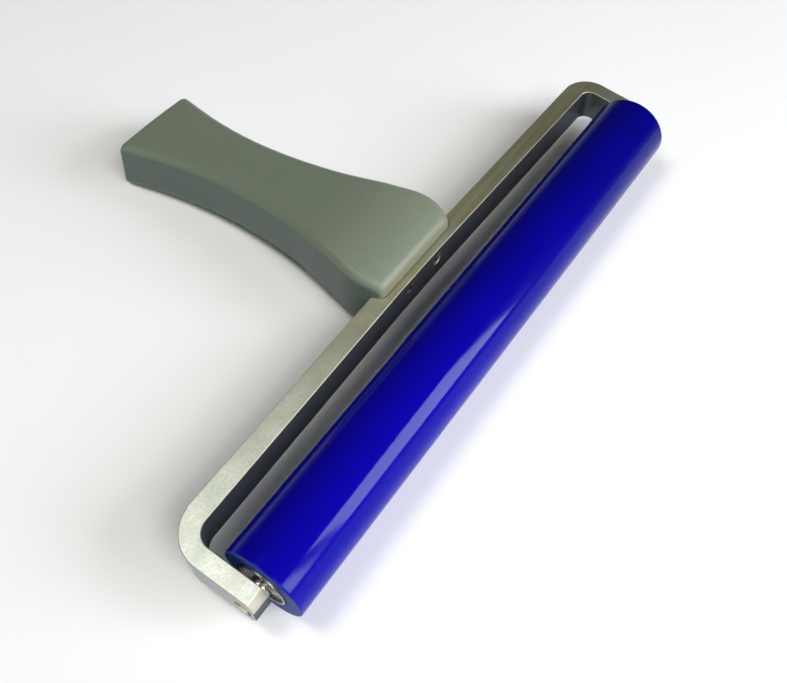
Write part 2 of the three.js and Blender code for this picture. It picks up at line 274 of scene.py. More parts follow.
def turned_mesh(outline, segments, closed, radius_at=None):
    """A solid of revolution about X. The outline of (x, radius) pairs is a closed loop,
    or has both ends on the axis. radius_at(x, radius, angle) changes it round the axis."""
    made = bmesh.new()
    rings = []
    for x, radius in outline:
        if radius == 0:
            rings.append([made.verts.new((x, 0, 0))] * segments)
            continue
        ring = []
        for i in range(segments):
            angle = 2 * math.pi * i / segments
            r = radius_at(x, radius, angle) if radius_at else radius
            ring.append(made.verts.new((x, r * math.sin(angle), r * math.cos(angle))))
        rings.append(ring)
    if closed:
        rings.append(rings[0])
    for one, other in zip(rings, rings[1:]):
        for i in range(segments):
            j = (i + 1) % segments
            corners = dict.fromkeys([one[i], one[j], other[j], other[i]])
            if len(corners) > 2:
                made.faces.new(list(corners))
    return made


def ring_outline(x0, x1, inner, outer, chamfer):
    """A ring's closed outline with all four corners chamfered."""
    return [
        (x0 + chamfer, inner), (x0, inner + chamfer),
        (x0, outer - chamfer), (x0 + chamfer, outer),
        (x1 - chamfer, outer), (x1, outer - chamfer),
        (x1, inner + chamfer), (x1 - chamfer, inner),
    ]


def prism(outline, depth):
    """Extrudes a flat outline of (x, y) pairs by +-depth along Z."""
    made = bmesh.new()
    face = made.faces.new([made.verts.new((x, y, -depth)) for x, y in outline])
    extruded = bmesh.ops.extrude_face_region(made, geom=[face])
    top = [v for v in extruded["geom"] if isinstance(v, bmesh.types.BMVert)]
    bmesh.ops.translate(made, verts=top, vec=(0, 0, 2 * depth))
    return made


# ---- Material helpers -------------------------------------------------------

class Nodes:
    """Builds one procedural material around a Principled shader."""

    def __init__(self, name):
        self.material = bpy.data.materials.new(name)
        self.material.use_nodes = True
        self.tree = self.material.node_tree
        self.shader = self.tree.nodes["Principled BSDF"]
        self.places = self.tree.nodes.new("ShaderNodeTexCoord")

    def put(self, kind, settings=None, **inputs):
        node = self.tree.nodes.new(kind)
        for key, value in (settings or {}).items():
            setattr(node, key, value)
        for key, value in inputs.items():
            self.feed(node.inputs[key.replace("_", " ")], value)
        return node

    def feed(self, socket, value):
        if isinstance(value, bpy.types.NodeSocket):
            self.tree.links.new(value, socket)
        else:
            socket.default_value = value

    def noise(self, scale, detail=4.0, stretch=(1, 1, 1), roughness=0.55):
        places = self.places.outputs["Object"]
        moved = self.put("ShaderNodeMapping", Scale=stretch, Vector=places)
        return self.put(
            "ShaderNodeTexNoise", Vector=moved.outputs["Vector"], Scale=scale,
            Detail=detail, Roughness=roughness,
        ).outputs["Fac"]

    def rings(self, place, scale):
        """Fine noise along one coordinate, such as the marks that turning leaves."""
        return self.put(
            "ShaderNodeTexNoise", {"noise_dimensions": "1D"}, W=place, Scale=scale, Detail=3.0,
        ).outputs["Fac"]

    def spots(self, scale, size):
        """Small round spots: 1 at each spot's middle and 0 away from it."""
        places = self.places.outputs["Object"]
        cells = self.put("ShaderNodeTexVoronoi", Vector=places, Scale=scale)
        return self.span(cells.outputs["Distance"], 0, size, 1, 0)

    def span(self, value, low, high, to_low=0.0, to_high=1.0):
        return self.put(
            "ShaderNodeMapRange", {"interpolation_type": "SMOOTHSTEP"}, Value=value,
            From_Min=low, From_Max=high, To_Min=to_low, To_Max=to_high,
        ).outputs["Result"]

    def math(self, operation, *values):
        node = self.put("ShaderNodeMath", {"operation": operation})
        for socket, value in zip(node.inputs, values):
            self.feed(socket, value)
        return node.outputs["Value"]

    def times(self, one, other):
        return self.math("MULTIPLY", one, other)

    def reach(self, one, other):
        """The distance from (0, 0) to (one, other)."""
        squares = self.math("ADD", self.times(one, one), self.times(other, other))
        return self.math("SQRT", squares)

    def mix(self, share, one, other):
        node = self.put("ShaderNodeMix", {"data_type": "RGBA"})
        self.feed(node.inputs["Factor"], share)
        self.feed(node.inputs[6], one)
        self.feed(node.inputs[7], other)
        return node.outputs[2]

    def parts(self, output):
        """x, y and z of one of the texture coordinate outputs."""
        split = self.put("ShaderNodeSeparateXYZ", Vector=self.places.outputs[output])
        return [split.outputs[axis] for axis in "XYZ"]

    def bump(self, *layers):
        """Layers are (height, strength, distance in metres), the finest last."""
        normal = None
        for height, strength, distance in layers:
            node = self.put(
                "ShaderNodeBump", Height=height, Strength=strength, Distance=distance,
            )
            if normal is not None:
                self.feed(node.inputs["Normal"], normal)
            normal = node.outputs["Normal"]
        self.feed(self.shader.inputs["Normal"], normal)

    def set(self, **inputs):
        for key, value in inputs.items():
            self.feed(self.shader.inputs[key.replace("_", " ")], value)


def colour(red, green, blue):
    return (red, green, blue, 1.0)


# ---- Materials --------------------------------------------------------------
# Texture scales are per metre. Some tones follow the object-space normal or place.

# Most of a noise texture's values lie in this range.
NOISE_RANGE = (0.3, 0.7)
RING_SPREAD = 0.08

BLUE_NEAR = colour(0.003, 0.001, 0.27)
BLUE_FAR_SHADE = colour(0.001, 0.001, 0.14)
BLUE_END_FACE = colour(0.003, 0.028, 0.30)
BLUE_DUST = colour(0.12, 0.12, 0.4)
FRAME_DULL = colour(0.80, 0.82, 0.74)
FRAME_BRIGHT = colour(0.97, 0.98, 0.94)
FRAME_FAR_WARM_SHADE = colour(0.53, 0.485, 0.285)
FRAME_PATINA = colour(0.52, 0.62, 0.51)
FRAME_SPECKS = colour(0.42, 0.49, 0.39)
FRAME_EDGE_HIGHLIGHT_TONE = colour(0.50, 0.45, 0.32)
FRAME_SIDE_SHADE = colour(0.30, 0.33, 0.40)
FRAME_INNER_FACE_SHADE = colour(0.035, 0.045, 0.075)
GREY_DARK = colour(0.152, 0.182, 0.128)
GREY_LIGHT = colour(0.178, 0.206, 0.146)
GREY_SPECKS = colour(0.24, 0.27, 0.21)
GREY_TAIL_SHADE = colour(0.120, 0.150, 0.104)
GREY_FLANK_SHADE = colour(0.062, 0.100, 0.088)
GREY_RIM_HIGHLIGHT = colour(0.170, 0.222, 0.165)
GREY_FRONT_LIT = colour(0.245, 0.248, 0.160)
CORE_DARK = colour(0.26, 0.25, 0.23)
CORE_LIGHT = colour(0.40, 0.39, 0.36)
FLOOR_DARK = colour(0.90, 0.90, 0.90)
FLOOR_LIGHT = colour(0.92, 0.92, 0.92)
FLOOR_FALLOFF_SHADE = colour(0.55, 0.56, 0.57)


def silicone():
    """Glossy blue rubber with painted shade that darkens it towards its far end, with dust specks
    and faint smears.
    """
    m = Nodes("blue_silicone")
    x = m.parts("Object")[0]
    cloud = m.span(m.noise(28, detail=3), 0.2, 0.8, -0.12, 0.12)
    # Painted shade: the blue darkens from the near end towards the far end, as the light falls off.
    tone = m.mix(m.math("ADD", m.span(x, -0.10, 0.18), cloud), BLUE_NEAR, BLUE_FAR_SHADE)
    end = extent("sleeve").x / 2 * MM
    from_middle = m.math("ABSOLUTE", m.math("SUBTRACT", x, AXIS.x))
    end_face = m.span(from_middle, end - 0.5 * MM, end)
    tone = m.mix(end_face, tone, BLUE_END_FACE)
    dust = m.times(m.spots(260, 0.07), m.span(m.noise(60), 0.5, 0.75))
    tone = m.mix(m.times(dust, 0.25), tone, BLUE_DUST)
    smears = m.noise(90, detail=5, stretch=(0.25, 1, 1))
    roughness = m.math("ADD", m.span(smears, 0.3, 0.75, 0.07, 0.15), m.times(end_face, 0.35))
    m.set(Base_Color=tone, Roughness=roughness, IOR=1.22)
    m.bump((m.noise(45, detail=2), 0.12, 0.0004), (m.noise(1500, detail=2), 0.05, 0.00004))
    return m.material


def satin_aluminium():
    """Blasted aluminium, with painted light and shade: warm painted shade from the near end towards
    the far one, painted shade on its sides and on the bar's inner face, and a warm, darker tone on
    its rounded edges that sets the colour of their highlights."""
    m = Nodes("frame_aluminium")
    x, _, z = m.parts("Object")
    _, ny, nz = m.parts("Normal")
    mottle = m.noise(110, detail=6)
    tone = m.mix(m.span(mottle, 0.35, 0.7), FRAME_DULL, FRAME_BRIGHT)
    cloud = m.span(m.noise(60, detail=3), 0.2, 0.8, -0.15, 0.15)
    # Painted shade, warm-toned: the metal darkens from the near end towards the middle and far end,
    # as the light falls off.
    tone = m.mix(m.math("ADD", m.span(x, -0.18, 0.03), cloud), tone, FRAME_FAR_WARM_SHADE)
    patina = m.span(m.noise(42, detail=6, stretch=(0.6, 1, 1)), 0.44, 0.64, 0, 0.6)
    tone = m.mix(patina, tone, FRAME_PATINA)
    blasted = m.noise(1000, detail=5, roughness=0.7)
    tone = m.mix(m.span(blasted, 0.40, 0.68, 0, 0.42), tone, FRAME_SPECKS)
    slope = m.math("ABSOLUTE", nz)
    # Painted highlight colour: the rounded edges are toned warm and darker than the flats, which
    # sets the colour of their highlights.
    edge = m.times(m.span(slope, 0.1, 0.3), m.span(slope, 0.9, 0.98, 1, 0))
    tone = m.mix(m.times(edge, 0.8), tone, FRAME_EDGE_HIGHLIGHT_TONE)
    # Painted shade on the upright sides.
    side = m.span(slope, 0.05, 0.25, 1, 0)
    tone = m.mix(m.times(side, 0.75), tone, FRAME_SIDE_SHADE)
    # Painted shade on the bar's inner face, which looks at the roller, deepest towards its bottom.
    inside = m.times(side, m.span(ny, -0.8, -0.3, 1, 0))
    inner_shade_share = m.span(z, AXIS.z - 8 * MM, AXIS.z + 8 * MM, 0.92, 0.70)
    tone = m.mix(m.times(inside, inner_shade_share), tone, FRAME_INNER_FACE_SHADE)
    grain = m.noise(2600, detail=3)
    streaks = m.noise(500, detail=4, stretch=(0.05, 1, 1))
    worn = m.math("ADD", m.times(grain, 0.5), m.times(streaks, 0.5))
    m.set(Base_Color=tone, Metallic=1.0, Roughness=m.span(worn, *NOISE_RANGE, 0.46, 0.56))
    m.bump((mottle, 0.10, 0.0005), (blasted, 0.30, 0.00015), (grain, 0.25, 0.00008))
    return m.material


def moulded_plastic():
    """Fine-grained grey plastic, with painted light and shade: painted shade darkens it towards
    its tail and cools its flanks, and painted light brightens its rims and its front."""
    m = Nodes("grey_plastic")
    y = m.parts("Object")[1]
    _, ny, nz = m.parts("Normal")
    bands = m.noise(14, detail=2, stretch=(1, 0.5, 1))
    tone = m.mix(m.span(bands, *NOISE_RANGE), GREY_DARK, GREY_LIGHT)
    speckle = m.noise(900, detail=3)
    tone = m.mix(m.span(speckle, 0.35, 0.8, 0, 0.25), tone, GREY_SPECKS)
    # Painted shade: darker towards the tail.
    tone = m.mix(m.span(y, -0.05, 0.0, 0, 0.8), tone, GREY_TAIL_SHADE)
    slope = m.math("ABSOLUTE", nz)
    # Painted shade on the flanks, cooler than the top.
    tone = m.mix(m.span(slope, 0.0, 0.55, 0.9, 0), tone, GREY_FLANK_SHADE)
    # Painted highlight along the rounded rims.
    rim = m.times(m.span(slope, 0.25, 0.6), m.span(slope, 0.75, 0.95, 1, 0))
    tone = m.mix(m.times(rim, 0.5), tone, GREY_RIM_HIGHLIGHT)
    # Painted light on the faces that look forward.
    tone = m.mix(m.span(ny, -0.95, -0.45, 0.9, 0), tone, GREY_FRONT_LIT)
    grain = m.noise(1400, detail=4)
    m.set(
        Base_Color=tone, Roughness=m.span(grain, *NOISE_RANGE, 0.42, 0.56), IOR=1.48,
        Sheen_Weight=0.08, Sheen_Roughness=0.5,
    )
    m.bump((m.noise(40, detail=2), 0.06, 0.0006), (grain, 0.18, 0.00007))
    return m.material


def turned_metal(name, dark, light, roughness, along_axis="X"):
    """Turned or ground metal, with fine rings along its axis and a mottled tone."""
    m = Nodes(name)
    rings = m.rings(m.parts("Object")["XYZ".index(along_axis)], 9000.0)
    mottle = m.noise(350, detail=5)
    low, high = roughness - RING_SPREAD, roughness + RING_SPREAD
    m.set(
        Base_Color=m.mix(m.span(mottle, *NOISE_RANGE), colour(*dark), colour(*light)),
        Metallic=1.0, Roughness=m.span(rings, *NOISE_RANGE, low, high),
    )
    m.bump((rings, 0.15, 0.00003), (m.noise(2500, detail=2), 0.08, 0.00003))
    return m.material


def core_aluminium():
    """Faced aluminium, with fine rings round the roller's axis."""
    m = Nodes("core_aluminium")
    _, y, z = m.parts("Object")
    radius = m.reach(m.math("SUBTRACT", y, AXIS.y), m.math("SUBTRACT", z, AXIS.z))
    rings = m.rings(radius, 7000.0)
    tone = m.mix(m.span(m.noise(300), *NOISE_RANGE), CORE_DARK, CORE_LIGHT)
    m.set(Base_Color=tone, Metallic=1.0, Roughness=m.span(rings, *NOISE_RANGE, 0.26, 0.40))
    m.bump((rings, 0.2, 0.00003))
    return m.material


SILICONE = silicone()
FRAME_METAL = satin_aluminium()
PLASTIC = moulded_plastic()
CORE_METAL = core_aluminium()
STEEL = turned_metal("ground_steel", (0.50, 0.50, 0.50), (0.68, 0.68, 0.67), 0.27)
SHIELD_STEEL = turned_metal("shield_steel", (0.55, 0.54, 0.50), (0.78, 0.76, 0.70), 0.22)
AXLE_SCREW_STEEL = turned_metal("yellow_zinc", (0.42, 0.36, 0.20), (0.66, 0.58, 0.36), 0.3)
GRIP_SCREW_STEEL = turned_metal("bronzed_steel", (0.20, 0.16, 0.13), (0.36, 0.32, 0.29), 0.34, "Y")
BRASS = turned_metal("brass", (0.62, 0.45, 0.18), (0.80, 0.62, 0.30), 0.3)
INSERT_BRASS = turned_metal("insert_brass", (0.62, 0.45, 0.18), (0.80, 0.62, 0.30), 0.3, "Y")


def finish_piece(piece, node, body, material):
    """Gives a piece its material, hides the CAD part that it stands for and hangs it on the body
    that it rides on.
    """
    piece.data.materials.clear()
    piece.data.materials.append(material)
    keep_flats_flat(piece)
    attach(piece, body)
    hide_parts(node)


# ---- Roller -----------------------------------------------------------------

def make_sleeve():
    end = extent("sleeve").x / 2
    outer = extent("sleeve").z / 2
    bore = extent("core_tube").z / 2 + SEAT_GAP
    shoulder = outer - SLEEVE_EDGE
    first = -end + SLEEVE_EDGE
    step = -2 * first / SLEEVE_RINGS
    outline = [
        (-end, bore + CORE_CHAMFER),
        *arc(first, shoulder, SLEEVE_EDGE, 180, 90, SLEEVE_EDGE_STEPS),
        *[(first + i * step, outer) for i in range(1, SLEEVE_RINGS)],
        *arc(-first, shoulder, SLEEVE_EDGE, 90, 0, SLEEVE_EDGE_STEPS),
        (end, bore + CORE_CHAMFER), (end - CORE_CHAMFER, bore), (-end + CORE_CHAMFER, bore),
    ]
    piece = new_piece("roller_sleeve", turned_mesh(outline, FINE, True))
    finish_piece(piece, "sleeve", "roller", SILICONE)


def make_core():
    end = extent("core_tube").x / 2
    outer = extent("core_tube").z / 2
    seat = extent("bearing_outer_race_left").z / 2 + SEAT_GAP
    race_middle = abs(middle("bearing_outer_race_left").x - AXIS.x) / MM
    shoulder = race_middle - extent("bearing_outer_race_left").x / 2 - SEAT_GAP
    half = [
        (shoulder, CORE_INNER), (shoulder, seat), (end - CORE_CHAMFER, seat),
        (end, seat + CORE_CHAMFER), (end, outer - CORE_CHAMFER), (end - CORE_CHAMFER, outer),
    ]
    outline = half + [(-x, radius) for x, radius in reversed(half)]
    piece = new_piece("roller_core", turned_mesh(outline, MEDIUM, True))
    finish_piece(piece, "core_tube", "roller", CORE_METAL)


# ---- Bearings ---------------------------------------------------------------

def groove_reach(shoulder):
    """Half-angle of the ball groove where it meets a race's shoulder, in degrees."""
    return 90 - math.degrees(math.asin(abs(shoulder - BALL_PITCH) / BALL_GROOVE))


def race_outlines(half, outer):
    """The sections of the outer and the inner race, with the ball groove in each."""
    c = RACE_CHAMFER
    out_reach = groove_reach(OUTER_SHOULDER)
    in_reach = groove_reach(INNER_SHOULDER)
    outer_race = [
        (-half, OUTER_SHOULDER), (-half, outer - c), (-half + c, outer),
        (half - c, outer), (half, outer - c), (half, OUTER_SHOULDER),
        *arc(0, BALL_PITCH, BALL_GROOVE, 90 - out_reach, 90 + out_reach, GROOVE_STEPS),
    ]
    inner_race = [
        (-half, BEARING_BORE + c), (-half, INNER_SHOULDER),
        *arc(0, BALL_PITCH, BALL_GROOVE, -90 - in_reach, -90 + in_reach, GROOVE_STEPS),
        (half, INNER_SHOULDER), (half, BEARING_BORE + c),
        (half - c, BEARING_BORE), (-half + c, BEARING_BORE),
    ]
    return outer_race, inner_race


def shield_outline():
    """A pressed steel washer: flat, with a shallow dished ring and a rolled rim."""
    inner = INNER_SHOULDER + FACE_GAP
    outer = OUTER_SHOULDER - SEAT_GAP
    return [
        *[(x, inner + rise) for x, rise in SHIELD_FRONT_INNER],
        *[(x, outer - drop) for x, drop in SHIELD_FRONT_OUTER + SHIELD_BACK_OUTER],
        *[(x, inner + rise) for x, rise in SHIELD_BACK_INNER],
    ]


def make_ball(node, body):
    radius = extent(node).x / 2
    round_side = arc(0, 0, radius, 180 - BALL_POLE, BALL_POLE, BALL_RINGS)
    ball = turned_mesh([(-radius, 0), *round_side, (radius, 0)], BALL_SEGMENTS, False)
    piece = new_piece(node.removeprefix("bearing_"), ball, at(node))
    finish_piece(piece, node, body, STEEL)


def make_cage(side):
    """A brass band with a round pocket for each ball."""
    node = f"bearing_cage_{side}"
    half = extent(node).x / 2
    inner, outer = BALL_PITCH - CAGE_HALF_WALL, BALL_PITCH + CAGE_HALF_WALL
    band = turned_mesh(ring_outline(-half, half, inner, outer, CAGE_CHAMFER), MEDIUM, True)
    piece = new_piece(f"bearing_ball_cage_{side}", band, at(node))
    radius = extent(f"bearing_ball_{side}_1").x / 2 + SEAT_GAP
    outline = [(POCKET_START, 0), (POCKET_START, radius), (POCKET_END, radius), (POCKET_END, 0)]
    pockets = []
    for i in range(BALL_COUNT):
        out = middle(f"bearing_ball_{side}_{i + 1}") - middle(node)
        drill = turned_mesh(outline, SMALL, False)
        pockets.append(new_piece("pocket", drill, facing(out, middle(node))))
    carve(piece, pockets)
    finish_piece(piece, node, f"cage_{side}", BRASS)


def make_bearing(side):
    node = f"bearing_outer_race_{side}"
    outer_race, inner_race = race_outlines(extent(node).x / 2, extent(node).z / 2)
    piece = new_piece(f"outer_race_{side}", turned_mesh(outer_race, MEDIUM, True), at(node))
    finish_piece(piece, node, "roller", STEEL)
    piece = new_piece(f"inner_race_{side}", turned_mesh(inner_race, MEDIUM, True), at(node))
    finish_piece(piece, f"bearing_inner_race_{side}", "frame", STEEL)
    for face in ("outer", "inner"):
        node = f"bearing_shield_{face}_{side}"
        outward = 1 if face == "outer" else -1
        place = facing((SIDES[side] * outward, 0, 0), middle(node))
        washer = turned_mesh(shield_outline(), MEDIUM, True)
        piece = new_piece(f"shield_{face}_{side}", washer, place)
        finish_piece(piece, node, "roller", SHIELD_STEEL)
    make_cage(side)
    for i in range(BALL_COUNT):
        make_ball(f"bearing_ball_{side}_{i + 1}", f"cage_{side}")


# ---- Axle, spacers and screws -----------------------------------------------

def make_axle():
    end = extent("axle").x / 2
    radius = extent("axle").z / 2
    c = RACE_CHAMFER
    half = [(end - TAP_DEPTH, 0), (end - TAP_DEPTH, TAP_RADIUS), (end - c, TAP_RADIUS),
            (end, TAP_RADIUS + c), (end, radius - c), (end - c, radius)]
    outline = half + [(-x, r) for x, r in reversed(half)]
    piece = new_piece("axle_shaft", turned_mesh(outline, SMALL, False), at("axle"))
    finish_piece(piece, "axle", "frame", STEEL)


def make_spacer(side):
    node = f"axle_spacer_{side}"
    half = extent(node).x / 2
    outline = ring_outline(-half, half, BEARING_BORE, extent(node).z / 2, SPACER_CHAMFER)
    piece = new_piece(f"spacer_{side}", turned_mesh(outline, SMALL, True), at(node))
    finish_piece(piece, node, "frame", SHIELD_STEEL)


def screw_mesh(head_outline, shank, pitch, length):
    """The head's outline runs from the axis at its face to the shank under the head."""
    start = head_outline[-1][0]
    end = -length + SCREW_TIP
    steps = int((start - end) / pitch * THREAD_STEPS)
    shank_points = [(start + (end - start) * i / steps, shank) for i in range(1, steps + 1)]
    tip = [(end - SCREW_TIP, shank * SCREW_TIP_TAPER), (end - SCREW_TIP, 0)]

    def radius_at(x, radius, angle):
        if x >= start - THREAD_NECK or radius != shank:
            return radius
        turn = (x / pitch + angle / (2 * math.pi)) % 1
        return radius - THREAD_DEPTH * pitch * 2 * abs(turn - 0.5)

    return turned_mesh(head_outline + shank_points + tip, SMALL, False, radius_at)


def make_screw(name, node, head_outline, sizes, place, length, material):
    """A screw with a thread and a hexagonal key socket with a drill point below it."""
    mesh_data = screw_mesh(head_outline, sizes["shank"], sizes["pitch"], length)
    piece = new_piece(name, mesh_data, place)
    radius, depth = sizes["socket"], sizes["socket_depth"]
    outline = [
        (-depth - SOCKET_POINT, 0), (-depth, radius), (SOCKET_OVERCUT, radius), (SOCKET_OVERCUT, 0),
    ]
    turned = place @ Matrix.Rotation(SOCKET_TURN, 4, "X")
    carve(piece, [new_piece("socket", turned_mesh(outline, HEXAGON, False), turned)])
    finish_piece(piece, node, "frame", material)


def make_axle_screw(side):
    node = f"axle_screw_{side}"
    sign = SIDES[side]
    low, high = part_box(node)
    face = Vector((high.x if sign > 0 else low.x, AXIS.y, AXIS.z))
    head = extent(node).z / 2
    head_outline = [
        (0, 0), *arc(-ARM_SCREW_RIM, head - ARM_SCREW_RIM, ARM_SCREW_RIM, 0, 90, HEAD_EDGE_STEPS),
        (ARM_SCREW_UNDERCUT - ARM_SCREW_HEAD, head), (-ARM_SCREW_HEAD, head - ARM_SCREW_UNDERCUT),
        (-ARM_SCREW_HEAD, ARM_SCREW["shank"]),
    ]
    make_screw(f"arm_screw_{side}", node, head_outline, ARM_SCREW,
               facing((sign, 0, 0), face), extent(node).x, AXLE_SCREW_STEEL)


def make_grip_screw(side):
    node = f"handle_screw_{side}"
    head = extent(node).z / 2
    head_outline = [
        (0, 0), (0, head - GRIP_SCREW_EDGE), (-GRIP_SCREW_EDGE, head), (-GRIP_SCREW_LAND, head),
        (-GRIP_SCREW_HEAD, GRIP_SCREW["shank"]),
    ]
    make_screw(f"grip_screw_{side}", node, head_outline, GRIP_SCREW,
               facing((0, -1, 0), front(node)), extent(node).y, GRIP_SCREW_STEEL)


def make_insert(side):
    """A brass insert with a knurled outside and a groove round its middle."""
    node = f"handle_insert_{side}"
    length = extent(node).y
    outer = extent(node).z / 2
    low = outer - INSERT_GROOVE_DEPTH
    bore, bore_rim = GRIP_SCREW_HOLE, GRIP_SCREW_HOLE + INSERT_BORE_EDGE
    groove, shoulder = INSERT_GROOVE_HALF, INSERT_GROOVE_HALF + INSERT_EDGE
    outline = [
        (-INSERT_EDGE, low), (0, low), (0, bore_rim), (-INSERT_BORE_EDGE, bore),
        (-length + INSERT_BORE_EDGE, bore), (-length, bore_rim), (-length, low),
        (-length + INSERT_EDGE, outer), (-length / 2 - shoulder, outer),
        (-length / 2 - groove, low), (-length / 2 + groove, low),
        (-length / 2 + shoulder, outer), (-2 * INSERT_EDGE, outer),
    ]

    def knurl(x, radius, angle):
        ridge = round(angle / (2 * math.pi) * SMALL) % 2
        return radius - KNURL_DEPTH * ridge if radius == outer else radius

    insert = turned_mesh(outline, SMALL, True, knurl)
    piece = new_piece(f"grip_insert_{side}", insert, facing((0, -1, 0), front(node)))
    finish_piece(piece, node, "frame", INSERT_BRASS)


# ---- Frame ------------------------------------------------------------------

def rounded_path(corners):
    """Points along a closed outline. Each corner is (x, y, radius)."""
    points = []
    count = len(corners)
    for i, (x, y, radius) in enumerate(corners):
        corner = Vector((x, y))
        if radius == 0:
            points.append(tuple(corner))
            continue
        back = (Vector(corners[i - 1][:2]) - corner).normalized()
        onward = (Vector(corners[(i + 1) % count][:2]) - corner).normalized()
        half_angle = back.angle(onward) / 2
        centre = corner + (back + onward).normalized() * (radius / math.sin(half_angle))
        cut = radius / math.tan(half_angle)
        start = corner + back * cut - centre
        sweep = start.angle_signed(corner + onward * cut - centre)
        for k in range(BEND_STEPS + 1):
            turn = Matrix.Rotation(-sweep * k / BEND_STEPS, 2)
            points.append(tuple(centre + turn @ start))
    return points


def frame_outline():
    """The U seen from above: along its inside, then back round its outside."""
    lean = math.tan(RIGHT_ARM_LEAN)
    right_thickness = ARM_THICKNESS / math.cos(RIGHT_ARM_LEAN)
    bar_rear = BAR_FRONT + BAR_DEPTH
    left_outside = -HALF_SPAN - ARM_THICKNESS

    def right_face(y):
        return HALF_SPAN + y * lean

    return rounded_path([
        (-HALF_SPAN, -ARM_REACH, 0),
        (-HALF_SPAN, BAR_FRONT, LEFT_BEND["inner"]),
        (-BOW_BLEND, BAR_FRONT + BAR_BOW, 0),
        (BOW_BLEND, BAR_FRONT + BAR_BOW, 0),
        (right_face(BAR_FRONT), BAR_FRONT, RIGHT_BEND["inner"]),
        (right_face(-ARM_REACH), -ARM_REACH, 0),
        (right_face(-ARM_REACH) + right_thickness, -ARM_REACH, 0),
        (right_face(bar_rear) + right_thickness, bar_rear, RIGHT_BEND["outer"]),
        (BOW_BLEND, bar_rear + BAR_BOW, 0),
        (-BOW_BLEND, bar_rear + BAR_BOW, 0),
        (left_outside, bar_rear, LEFT_BEND["outer"]),
        (left_outside, -ARM_REACH, 0),
    ])


def tip_wedges():
    """Wedges that slope off the tips of both arms, above and below."""
    deep, high = TIP_CHAMFER_DEPTH * WEDGE_REACH, TIP_CHAMFER_HEIGHT * WEDGE_REACH
    top = FRAME_HEIGHT / 2
    outline = [
        (-ARM_REACH + TIP_CHAMFER_DEPTH + deep, top + high),
        (-ARM_REACH - deep, top + high),
        (-ARM_REACH - deep, top - TIP_CHAMFER_HEIGHT - high),
    ]
    turn = Matrix(((0, 0, 1, 0), (1, 0, 0, 0), (0, 1, 0, 0), (0, 0, 0, 1)))
    wedges = []
    for upward in (1, -1):
        place = Matrix.Translation(AXIS) @ Matrix.Diagonal((1, 1, upward, 1)) @ turn
        wedges.append(new_piece("wedge", prism(outline, WEDGE_HALF_LENGTH), place))
    return wedges


def arm_drills():
    """Stepped holes through the arms: spot face, shank hole and counterbore."""
    far_end = HALF_SPAN - ARM_OVERCUT[0]
    spot = HALF_SPAN + SPOT_FACE_DEPTH
    floor = HALF_SPAN + ARM_THICKNESS - COUNTERBORE_DEPTH
    mouth = HALF_SPAN + ARM_THICKNESS + ARM_OVERCUT[1]
    outline = [
        (far_end, 0), (far_end, SPOT_FACE_RADIUS), (spot, SPOT_FACE_RADIUS), (spot, SCREW_HOLE),
        (floor, SCREW_HOLE), (floor, COUNTERBORE_RADIUS), (mouth, COUNTERBORE_RADIUS), (mouth, 0),
    ]
    return [
        new_piece("drill", turned_mesh(outline, SMALL, False), facing((sign, 0, 0), AXIS))
        for sign in SIDES.values()
    ]


def bar_drills():
    """Countersunk holes through the back bar for the grip's two screws."""
    slope = COUNTERSINK_RADIUS - GRIP_SCREW_HOLE
    far_end = -BAR_DEPTH - BAR_OVERCUT[0]
    outline = [
        (far_end, 0), (far_end, GRIP_SCREW_HOLE), (-slope, GRIP_SCREW_HOLE),
        (0, COUNTERSINK_RADIUS), (BAR_OVERCUT[1], COUNTERSINK_RADIUS), (BAR_OVERCUT[1], 0),
    ]
    drills = []
    for side in SIDES:
        centre = middle(f"handle_screw_{side}")
        mouth = Vector((centre.x, AXIS.y + (BAR_FRONT + BAR_BOW) * MM, centre.z))
        drill = turned_mesh(outline, SMALL, False)
        drills.append(new_piece("drill", drill, facing((0, -1, 0), mouth)))
    return drills


def make_frame():
    piece = new_piece("bent_frame", prism(frame_outline(), FRAME_HEIGHT / 2))
    carve(piece, tip_wedges())
    soften(piece, FRAME_EDGE, FRAME_EDGE_STEPS, FRAME_EDGE_ANGLE)
    carve(piece, arm_drills() + bar_drills())
    finish_piece(piece, "frame", "frame", FRAME_METAL)


# ---- Grip -------------------------------------------------------------------

def along(stations):
    """A function of y that runs smoothly through (y, value) stations."""
    slopes = [(b[1] - a[1]) / (b[0] - a[0]) for a, b in zip(stations, stations[1:])]
    tangents = [slopes[0], *[(a + b) / 2 for a, b in zip(slopes, slopes[1:])], slopes[-1]]

    def value(y):
        y = min(max(y, stations[0][0]), stations[-1][0])
        i = max(k for k in range(len(slopes)) if k == 0 or stations[k][0] <= y)
        (y0, v0), (y1, v1) = stations[i], stations[i + 1]
        t = (y - y0) / (y1 - y0)
        leaving = tangents[i] * (t ** 3 - 2 * t ** 2 + t)
        arriving = tangents[i + 1] * (t ** 3 - t ** 2)
        level = v0 * (2 * t ** 3 - 3 * t ** 2 + 1) + v1 * (3 * t ** 2 - 2 * t ** 3)
        return level + (y1 - y0) * (leaving + arriving)

    return value


def grip_section(half_width, top, underside, inset):
    """One closed cross-section as (x, z) points, with rounded corners."""
    radius = GRIP_CORNER - inset
    right, high, low = half_width - inset, top - inset, underside + inset
    corners = [(right, high, 0), (-right, high, 90), (-right, low, 180), (right, low, 270)]
    rounds = [
        arc(x - math.copysign(radius, x), z - radius if z == high else z + radius,
            radius, start, start + 90, CORNER_STEPS)
        for x, z, start in corners
    ]
    points = []
    for k, steps in enumerate(FLAT_STEPS):
        points += rounds[k]
        begin = Vector(rounds[k][-1])
        finish = Vector(rounds[(k + 1) % 4][0])
        points += [tuple(begin.lerp(finish, i / steps)) for i in range(1, steps)]
    return [
        (x, z + GRIP_CROWN * (1 - (x / half_width) ** 2) * max(0, z) / high)
        for x, z in points
    ]


